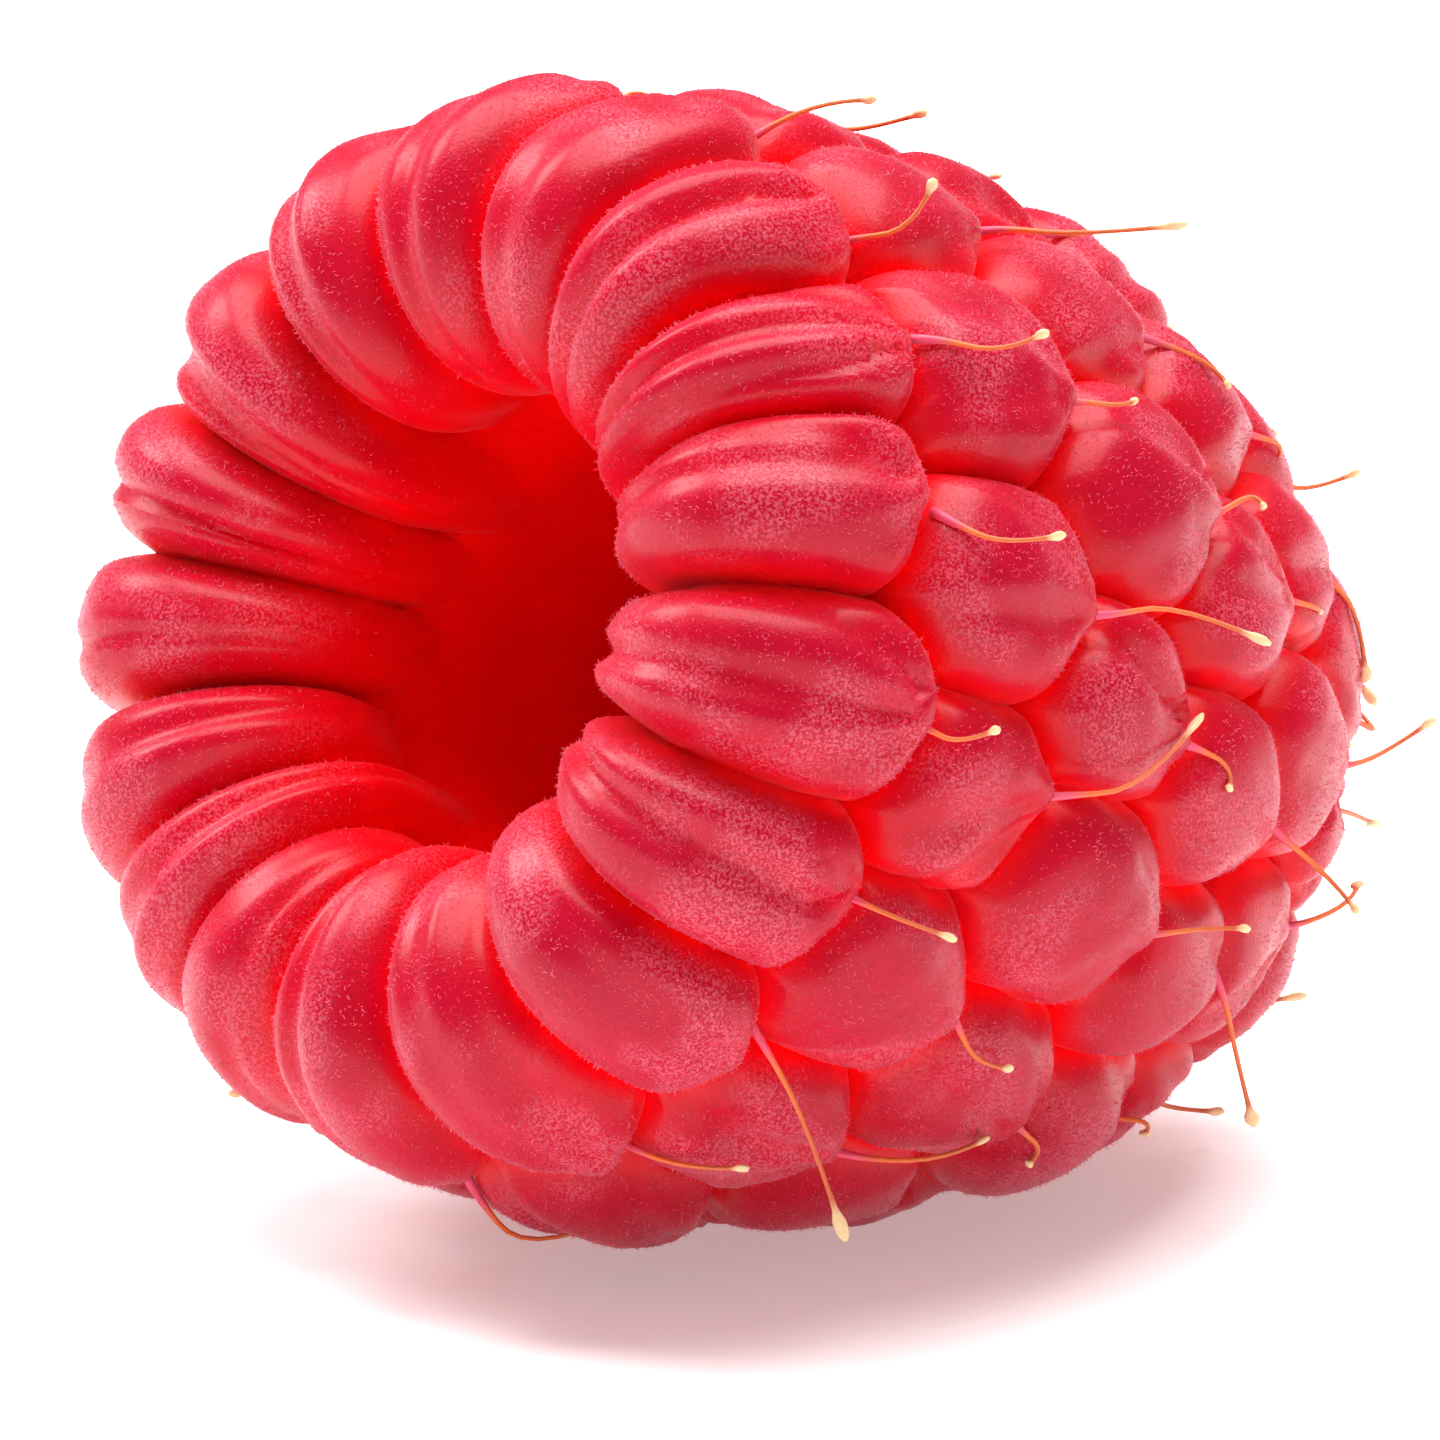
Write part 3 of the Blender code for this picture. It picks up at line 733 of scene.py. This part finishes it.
@dataclass
class Styles:
    """The withered styles, each a thin hooked thread with a knob, from the beak of a drupelet."""

    drupelets: Drupelets
    pose: RestingPose
    cad_box: tuple[Array, Array]
    at: float = 0.75
    length: float = 1.9 * MM
    length_spread: float = 0.35
    root: float = 0.5 * MM
    radius: float = 0.045 * MM
    lean: float = 0.9
    lean_spread: float = 0.6
    ahead: float = 0.3
    down: float = 0.45
    aside: float = 0.8
    hook: float = 0.75
    hook_from: float = 0.45
    least_share: float = 0.3
    clearance: float = 0.5 * MM
    margin: float = 0.3 * MM
    sides: int = 8
    stations: tuple[float, ...] = (
        0.0, 0.12, 0.22, 0.32, 0.42, 0.52, 0.62, 0.72, 0.81, 0.88, 0.925, 0.955, 0.98, 1.0,
    )
    widths: tuple[float, ...] = (
        2.1, 1.9, 1.6, 1.25, 1.1, 1.05, 1.0, 0.95, 0.9, 0.95, 1.3, 2.9, 2.8, 1.0,
    )
    depths: tuple[float, ...] = (
        2.1, 1.9, 1.6, 1.25, 1.1, 1.05, 1.0, 0.95, 0.9, 0.95, 1.1, 1.5, 1.5, 0.7,
    )

    def lines(self, random: np.random.Generator) -> Array:
        """Centre line of every style, on the table."""
        drupelets = self.drupelets
        reach = self.at * drupelets.form.along * drupelets.scales[:, None]
        stations, turns = drupelets.base.place_of(drupelets.seats + reach * drupelets.aheads)
        feet, _, _ = drupelets.skin(stations, turns)
        _, ups = drupelets.base.at(stations, turns)
        count = len(feet)
        spread = random.uniform(-self.length_spread, self.length_spread, (count, 1, 1))
        sideways, bend = random.uniform(-self.aside, self.aside, (2, count, 1))
        lean = self.lean + random.uniform(-self.lean_spread, self.lean_spread, (count, 1))
        across = np.cross(drupelets.ups, drupelets.aheads)
        start = unit(ups + lean * drupelets.aheads + sideways * across)[:, None]
        turning = (self.ahead * drupelets.aheads - self.down * ups + bend * across)[:, None]
        hooks = random.uniform(-self.hook, self.hook, (3, count, 1))
        hook = (hooks[0] * drupelets.aheads + hooks[1] * ups + hooks[2] * across)[:, None]
        shares = np.array(self.stations)[:, None]
        late = np.clip(shares - self.hook_from, 0, None) ** 2
        length = self.length * (1 + spread) + self.root
        bent = shares * start + 0.5 * shares**2 * turning + 2 * late * hook
        matrix = self.pose.matrix()
        roots = (feet[:, None] - self.root * start) @ matrix[:3, :3].T + matrix[:3, 3]
        return self.kept_in(roots, length * bent @ matrix[:3, :3].T)

    def kept_in(self, roots: Array, offsets: Array) -> Array:
        """Roots and offsets as lines, each made short enough to stay in the fruit's box."""
        lowest = self.cad_box[0] - self.margin
        highest = self.cad_box[1] + self.margin
        limits = np.where(offsets > 0, highest, lowest) - roots
        room = np.where(np.abs(offsets) > 1e-9, limits / np.where(offsets == 0, 1, offsets), np.inf)
        share = np.clip(room.min(axis=(1, 2)), self.least_share, 1)
        return roots + share[:, None, None] * offsets

    def mesh(self, random: np.random.Generator) -> bpy.types.Mesh:
        """Every style that keeps clear of the table, as one mesh of thin tubes."""
        lines = self.lines(random)
        lines = lines[lines[..., 2].min(axis=1) > self.clearance]
        ahead = unit(np.gradient(lines, axis=1))
        slanting = np.array([0.31, 0.53, 0.79])  # so that no thread runs along it
        aside = unit(np.cross(ahead, slanting))
        up = np.cross(ahead, aside)
        angles = np.arange(self.sides) * 2 * math.pi / self.sides
        widths = np.array(self.widths)[:, None, None] * np.cos(angles)[:, None]
        depths = np.array(self.depths)[:, None, None] * np.sin(angles)[:, None]
        circle = widths * aside[:, :, None] + depths * up[:, :, None]
        points = lines[:, :, None] + self.radius * circle
        count, rows = lines.shape[:2]
        faces = [ring_faces(rows, self.sides)]
        last = (rows - 1) * self.sides
        for end, step in ((0, -1), (last, 1)):
            places = range(end + 1, end + self.sides - 1)
            faces.append(np.array([(end, place, place + 1)[::step] for place in places]))
        every = copies(np.concatenate(faces), rows * self.sides, count)
        mesh = mesh_of("styles", points.reshape(-1, 3), every)
        along = np.repeat(np.array(self.stations), self.sides)
        store(mesh, "along", np.tile(along, count))
        LOG.info("styles: %d threads", count)
        return mesh

    def build(self, finish: StyleFinish, random: np.random.Generator) -> bpy.types.Object:
        """Adds the styles in their finish."""
        return add_piece("withered_styles", self.mesh(random), finish.material())


class Zone(Enum):
    """Where hairs grow, with how densely they stand there beside the outside of the fruit."""

    OUTSIDE = 1.0
    CUP = 0.15


@dataclass
class Hairs:
    """The fine pale hairs on the drupelets, as tapered curved cones."""

    lots: int = 3
    count: int = 21000
    length: float = 0.08 * MM
    length_spread: float = 0.5
    radius: float = 0.006 * MM
    tilt: float = 0.9
    curl: float = 1.2
    rise: tuple[float, float] = (0.50, 0.85)  # from where they start to where they stand full
    clearance: float = 0.4 * MM
    root_share: float = 0.1
    middle_width: float = 0.75
    sides: int = 3

    def roots(
        self, flesh: bpy.types.Object, random: np.random.Generator
    ) -> tuple[Array, Array]:
        """Places and normals on the flesh, picked evenly over its area.

        Args:
            flesh: the skin that the hairs grow on.
            random: draws the places.

        Returns:
            The root points and the unit normals there.
        """
        corners = fetched(flesh.data.polygons, "vertices", 3, np.int32)
        triangles = fetched(flesh.data.vertices, "co", 3, np.float32)[corners].astype(float)
        layers = [flesh.data.attributes[name].data for name in ("rise", "cup")]
        rise, in_cup = (
            fetched(layer, "value", 1, np.float32)[corners, 0].mean(axis=1) for layer in layers
        )
        edges = np.cross(triangles[:, 1] - triangles[:, 0], triangles[:, 2] - triangles[:, 0])
        areas = np.linalg.norm(edges, axis=1)
        weights = areas * (Zone.OUTSIDE.value * (1 - in_cup) + Zone.CUP.value * in_cup)
        weights *= smooth(rise, *self.rise)
        weights *= triangles[..., 2].min(axis=1) > self.clearance
        picked = random.choice(len(triangles), self.count, p=weights / weights.sum())
        shares = random.dirichlet((1, 1, 1), self.count)
        roots = np.einsum("kc,kcx->kx", shares, triangles[picked])
        return roots, edges[picked] / areas[picked][:, None]

    def mesh(self, flesh: bpy.types.Object, random: np.random.Generator) -> bpy.types.Mesh:
        """All hairs as one mesh."""
        roots, normals = self.roots(flesh, random)
        lean = unit(random.normal(size=(self.count, 3)))
        curl = unit(random.normal(size=(self.count, 3)))
        spread = random.uniform(-self.length_spread, self.length_spread, (self.count, 1))
        length = self.length * (1 + spread)
        start = unit(normals + self.tilt * lean)
        middle = roots + 0.5 * length * start
        tip = middle + 0.5 * length * unit(start + self.curl * curl)
        aside = unit(np.cross(start, curl))
        up = np.cross(start, aside)
        rows = []
        sunk = roots - self.root_share * length * start
        for centre, radius in ((sunk, self.radius), (middle, self.middle_width * self.radius)):
            for angle in np.arange(self.sides) * 2 * math.pi / self.sides:
                rows.append(centre + radius * (math.cos(angle) * aside + math.sin(angle) * up))
        rows.append(tip)
        points = np.stack(rows, axis=1)
        sides = self.sides
        last = [(sides + side, sides + (side + 1) % sides, 2 * sides) for side in range(sides)]
        one = np.concatenate([ring_faces(2, sides), np.array(last)])
        return mesh_of("hairs", points.reshape(-1, 3), copies(one, points.shape[1], self.count))

    def build(
        self, finish: HairFinish, flesh: bpy.types.Object, random: np.random.Generator
    ) -> None:
        """Adds the hairs in their finish, in several lots."""
        material = finish.material()
        for lot in range(1, self.lots + 1):
            add_piece(f"fine_hairs_{lot}", self.mesh(flesh, random), material)


def linear(code: str) -> tuple[float, float, float, float]:
    """Linear RGBA of an sRGB hex colour."""
    values = [int(code[place : place + 2], 16) / 255 for place in (1, 3, 5)]
    red, green, blue = (v / 12.92 if v <= 0.04045 else ((v + 0.055) / 1.055) ** 2.4 for v in values)
    return (red, green, blue, 1.0)


def per_metre(feature_mm: float) -> float:
    """Texture scale at which one feature of the pattern is this many millimetres wide."""
    return 1 / (feature_mm * MM)


def dress(tree: bpy.types.NodeTree, node: bpy.types.Node, inputs: dict[str | int, object]) -> None:
    """Links or sets inputs of a node."""
    for name, value in inputs.items():
        if isinstance(value, bpy.types.NodeSocket):
            tree.links.new(value, node.inputs[name])
        else:
            node.inputs[name].default_value = value


def add_node(
    tree: bpy.types.NodeTree, kind: str, inputs: dict[str | int, object], **settings: object
) -> bpy.types.Node:
    """Adds a node with its settings, and with inputs that are linked or set.

    Args:
        tree: the material's nodes.
        kind: Blender's name for the node.
        inputs: for each input, the socket to link to it or the value to set.
        **settings: properties of the node.

    Returns:
        The new node.
    """
    made = tree.nodes.new(kind)
    for name, value in settings.items():
        setattr(made, name, value)
    dress(tree, made, inputs)
    return made


def blank_material(name: str) -> tuple[bpy.types.Material, bpy.types.NodeTree, bpy.types.Node]:
    """A new material with its nodes and its shader."""
    material = bpy.data.materials.new(name)
    material.use_nodes = True
    tree = material.node_tree
    shader = tree.nodes["Principled BSDF"]
    # The simpler Burley scattering in place of the random walk. On this fruit it looks
    # like the random walk and renders in two thirds of the time
    shader.subsurface_method = "BURLEY"
    return material, tree, shader


def graded(node: bpy.types.Node, stops: tuple[tuple[float, str], ...]) -> bpy.types.NodeSocket:
    """Sets the stops of a colour ramp and gives its colour."""
    elements = node.color_ramp.elements
    while len(elements) < len(stops):
        elements.new(0.5)
    for element, (place, code) in zip(elements, stops):
        element.position = place
        element.color = linear(code)
    return node.outputs["Color"]


@dataclass(frozen=True)
class FleshFinish:
    """Ripe raspberry skin: thin, translucent, juicy inside, dulled by fine hairs, with a painted
    glow and highlight.
    """

    # Creases painted a brighter pure red, a painted glow of light through the flesh; tops deep
    # crimson
    crease_glow_red: str = "#E40008"
    side_red: str = "#BC0020"
    top_rose: str = "#AE0028"
    colour_stops: tuple[float, float, float] = (0.40, 0.70, 1.0)  # shares of a drupelet's height
    detail: float = 1.0  # finer layers in each pattern
    # Riper spots look darker
    blotch_red: str = "#A8001C"
    blotch_mm: float = 1.6
    blotch_from: tuple[float, float] = (0.45, 0.75)
    blotch_most: float = 0.5
    # Pale grain for hairs too fine to build, gathered on the tops in hazy patches: a painted
    # highlight
    fuzz_and_highlight_rose: str = "#FF9CB4"
    grain_mm: float = 0.055  # the hairs' feet are finer, but would not show in the picture
    grain_from: tuple[float, float] = (0.42, 0.66)
    grain_most: float = 0.24
    painted_highlight_patch_mm: float = 2.0
    painted_highlight_patch_from: tuple[float, float] = (0.44, 0.62)
    painted_highlight_rise: tuple[float, float] = (0.35, 0.95)
    bump: float = 0.6
    bump_height: float = 0.03 * MM
    # The cup's red is painted brighter: a painted glow of the light that comes through the flesh
    cup_glow_red: str = "#F20000"
    scattering: float = 0.7
    reach_mm: float = 1.0
    reach_shares: tuple[float, float, float] = (1.0, 0.10, 0.08)
    # Waxy and satin, with soft broad lights on the tops
    ior: float = 1.40
    roughness: float = 0.40
    gloss: float = 0.10
    coat: float = 0.26
    coat_roughness: float = 0.27
    sheen: float = 0.20
    sheen_roughness: float = 0.35
    sheen_rose: str = "#FFA8BC"

    def material(self) -> bpy.types.Material:
        """The skin's material."""
        material, tree, shader = blank_material("ripe_raspberry_skin")
        place = add_node(tree, "ShaderNodeTexCoord", {}).outputs["Object"]
        rise = add_node(tree, "ShaderNodeAttribute", {}, attribute_name="rise").outputs["Fac"]
        cup = add_node(tree, "ShaderNodeAttribute", {}, attribute_name="cup").outputs["Fac"]
        # By height on the drupelet: the creases get the painted glow, the tops deep crimson
        ramp = add_node(tree, "ShaderNodeValToRGB", {"Fac": rise})
        reds = (self.crease_glow_red, self.side_red, self.top_rose)
        colour = graded(ramp, tuple(zip(self.colour_stops, reds)))
        patterns = []
        for feature in (self.blotch_mm, self.grain_mm, self.painted_highlight_patch_mm):
            inputs = {"Vector": place, "Scale": per_metre(feature), "Detail": self.detail}
            patterns.append(add_node(tree, "ShaderNodeTexNoise", inputs).outputs["Fac"])
        blotches, grain, patches = patterns
        shares = []
        for value, (least, most), full, kind in (
            (blotches, self.blotch_from, self.blotch_most, "LINEAR"),
            (grain, self.grain_from, self.grain_most, "LINEAR"),
            (rise, self.painted_highlight_rise, 1.0, "SMOOTHSTEP"),
            (patches, self.painted_highlight_patch_from, 1.0, "SMOOTHSTEP"),
        ):
            inputs = {"Value": value, "From Min": least, "From Max": most, "To Max": full}
            node = add_node(tree, "ShaderNodeMapRange", inputs, interpolation_type=kind)
            shares.append(node.outputs["Result"])
        blotched, fuzz_and_highlight, *highlight_masks = shares
        # The pale grain is kept to the tops and to hazy patches there: a painted highlight
        for highlight_mask in highlight_masks:
            inputs = {0: fuzz_and_highlight, 1: highlight_mask}
            fuzz_and_highlight = add_node(tree, "ShaderNodeMath", inputs, operation="MULTIPLY").outputs["Value"]
        # Darker blotches, then the pale grain with its painted highlight, then the cup's painted
        # glow
        for share, code in (
            (blotched, self.blotch_red), (fuzz_and_highlight, self.fuzz_and_highlight_rose), (cup, self.cup_glow_red),
        ):
            inputs = {0: share, 6: colour, 7: linear(code)}
            colour = add_node(tree, "ShaderNodeMix", inputs, data_type="RGBA").outputs[2]
        inputs = {"Height": grain, "Strength": self.bump, "Distance": self.bump_height}
        inputs = {
            "Base Color": colour,
            "Roughness": self.roughness,
            "IOR": self.ior,
            "Specular IOR Level": self.gloss,
            "Subsurface Weight": self.scattering,
            "Subsurface Radius": self.reach_shares,
            "Subsurface Scale": self.reach_mm * MM,
            "Coat Weight": self.coat,
            "Coat Roughness": self.coat_roughness,
            "Sheen Weight": self.sheen,
            "Sheen Roughness": self.sheen_roughness,
            "Sheen Tint": linear(self.sheen_rose),
            "Normal": add_node(tree, "ShaderNodeBump", inputs).outputs["Normal"],
        }
        dress(tree, shader, inputs)
        return material


@dataclass(frozen=True)
class StyleFinish:
    """Withered style: dried to an orange thread, pink at its root, with a pale knob."""

    root_pink: str = "#E0486A"
    thread_orange: str = "#E46A2C"
    neck_brown: str = "#C86030"
    knob_cream: str = "#EBC896"
    colour_stops: tuple[float, float, float, float] = (0.22, 0.38, 0.90, 0.94)  # along the thread
    # Dried threads look dull and a little rough, and let some light through
    roughness: float = 0.55
    wrinkle_mm: float = 0.12
    bump: float = 0.6
    bump_height: float = 0.02 * MM
    scattering: float = 0.3
    reach_mm: float = 0.1
    reach_shares: tuple[float, float, float] = (1.0, 0.6, 0.3)

    def material(self) -> bpy.types.Material:
        """The styles' material."""
        material, tree, shader = blank_material("withered_style")
        along = add_node(tree, "ShaderNodeAttribute", {}, attribute_name="along").outputs["Fac"]
        ramp = add_node(tree, "ShaderNodeValToRGB", {"Fac": along})
        colours = (self.root_pink, self.thread_orange, self.neck_brown, self.knob_cream)
        place = add_node(tree, "ShaderNodeTexCoord", {}).outputs["Object"]
        inputs = {"Vector": place, "Scale": per_metre(self.wrinkle_mm)}
        wrinkles = add_node(tree, "ShaderNodeTexNoise", inputs).outputs["Fac"]
        inputs = {"Height": wrinkles, "Strength": self.bump, "Distance": self.bump_height}
        inputs = {
            "Base Color": graded(ramp, tuple(zip(self.colour_stops, colours))),
            "Roughness": self.roughness,
            "Subsurface Weight": self.scattering,
            "Subsurface Radius": self.reach_shares,
            "Subsurface Scale": self.reach_mm * MM,
            "Normal": add_node(tree, "ShaderNodeBump", inputs).outputs["Normal"],
        }
        dress(tree, shader, inputs)
        return material


@dataclass(frozen=True)
class HairFinish:
    """Plant hair: clear and thin, so it looks like a pale pink haze."""

    pale: str = "#F87C98"
    rosy: str = "#E43058"
    colour_stops: tuple[float, float] = (0.35, 0.65)
    patch_mm: float = 0.8  # some patches of hairs catch more of the flesh's colour
    roughness: float = 0.5

    def material(self) -> bpy.types.Material:
        """The hairs' material."""
        material, tree, shader = blank_material("fine_plant_hair")
        place = add_node(tree, "ShaderNodeTexCoord", {}).outputs["Object"]
        inputs = {"Vector": place, "Scale": per_metre(self.patch_mm)}
        patches = add_node(tree, "ShaderNodeTexNoise", inputs).outputs["Fac"]
        ramp = add_node(tree, "ShaderNodeValToRGB", {"Fac": patches})
        colour = graded(ramp, tuple(zip(self.colour_stops, (self.rosy, self.pale))))
        dress(tree, shader, {"Base Color": colour, "Roughness": self.roughness})
        return material


@dataclass(frozen=True)
class Softbox:
    """A square soft light that faces the fruit."""

    name: str
    place: tuple[float, float, float]
    size: float
    power: float

    def build(self, aim: tuple[float, float, float]) -> None:
        """Adds the light, turned to the place aimed at."""
        data = bpy.data.lights.new(self.name, "AREA")
        data.size = self.size
        data.energy = self.power
        place = Vector(self.place)
        add_facing(self.name, data, place, place - Vector(aim))


@dataclass
class Studio:
    """White table, soft light all round and from above, and the camera."""

    azimuth: float = math.radians(-39.5)
    elevation: float = math.radians(14.5)
    distance: float = 0.35
    frame_width: float = 25.3 * MM
    aim: tuple[float, float, float] = (-1.0 * MM, 0.83 * MM, 8.5 * MM)
    sensor: float = 36.0
    nearest: float = 0.01
    table_size: float = 4.0
    table_white: str = "#F8F8F8"
    table_roughness: float = 0.9
    table_glow: float = 0.35
    room_light: float = 0.24
    softboxes: tuple[Softbox, ...] = (
        Softbox("top_softbox", (0.030, 0.028, 0.30), 0.30, 2.3),
        Softbox("left_softbox", (-0.088, 0.198, 0.20), 0.12, 0.6),
    )

    def back(self) -> Vector:
        """From the fruit towards the camera."""
        level = math.cos(self.elevation)
        across, along = math.sin(self.azimuth) * level, -math.cos(self.azimuth) * level
        return Vector((across, along, math.sin(self.elevation)))

    def add_camera(self) -> None:
        """Adds the camera, far off with a long lens."""
        data = bpy.data.cameras.new("camera")
        data.sensor_width = self.sensor
        data.lens = self.sensor * self.distance / self.frame_width
        data.clip_start = self.nearest
        back = self.back()
        place = Vector(self.aim) + self.distance * back
        bpy.context.scene.camera = add_facing("camera", data, place, back)

    def add_table(self) -> None:
        """Adds the table under the fruit."""
        half = self.table_size / 2
        corners = np.array([(-half, -half, 0), (half, -half, 0), (half, half, 0), (-half, half, 0)])
        mesh = mesh_of("table", corners, np.array([[0, 1, 2, 3]]))
        material, tree, shader = blank_material("matte_white_table")
        # Dull white, and lit a little from below, as such tables are: the shadow stays light
        white = linear(self.table_white)
        glow = {"Emission Color": white, "Emission Strength": self.table_glow}
        dress(tree, shader, {"Base Color": white, "Roughness": self.table_roughness, **glow})
        mesh.materials.append(material)
        table = add_object("table", mesh)
        table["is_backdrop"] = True

    def add_world(self) -> None:
        """Adds even white light from all round."""
        world = bpy.data.worlds.new("white_room")
        world.use_nodes = True
        background = world.node_tree.nodes["Background"]
        background.inputs["Color"].default_value = (1, 1, 1, 1)
        background.inputs["Strength"].default_value = self.room_light
        bpy.context.scene.world = world

    def build(self) -> None:
        """Adds the whole studio."""
        self.add_world()
        self.add_table()
        for softbox in self.softboxes:
            softbox.build(self.aim)
        self.add_camera()
        bpy.context.scene.view_settings.view_transform = "Standard"
        LOG.info("studio: camera %.0f mm", bpy.context.scene.camera.data.lens)


def main() -> None:
    """Builds the raspberry's looks and its studio."""
    logging.basicConfig(level=logging.INFO, format="%(name)s %(message)s")
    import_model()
    cad_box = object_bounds()
    growth = np.random.default_rng(GROWTH_SEED)
    drupelets = Drupelets.grown(growth, np.random.default_rng(RELIEF_SEED))
    pose = RestingPose()
    flesh = Flesh(drupelets, pose).build(FleshFinish())
    box = (np.array(cad_box[0]), np.array(cad_box[1]))
    Styles(drupelets, pose, box).build(StyleFinish(), growth)
    Hairs().build(HairFinish(), flesh, np.random.default_rng(HAIR_SEED))
    Studio().build()


if __name__ == "__main__":
    main()
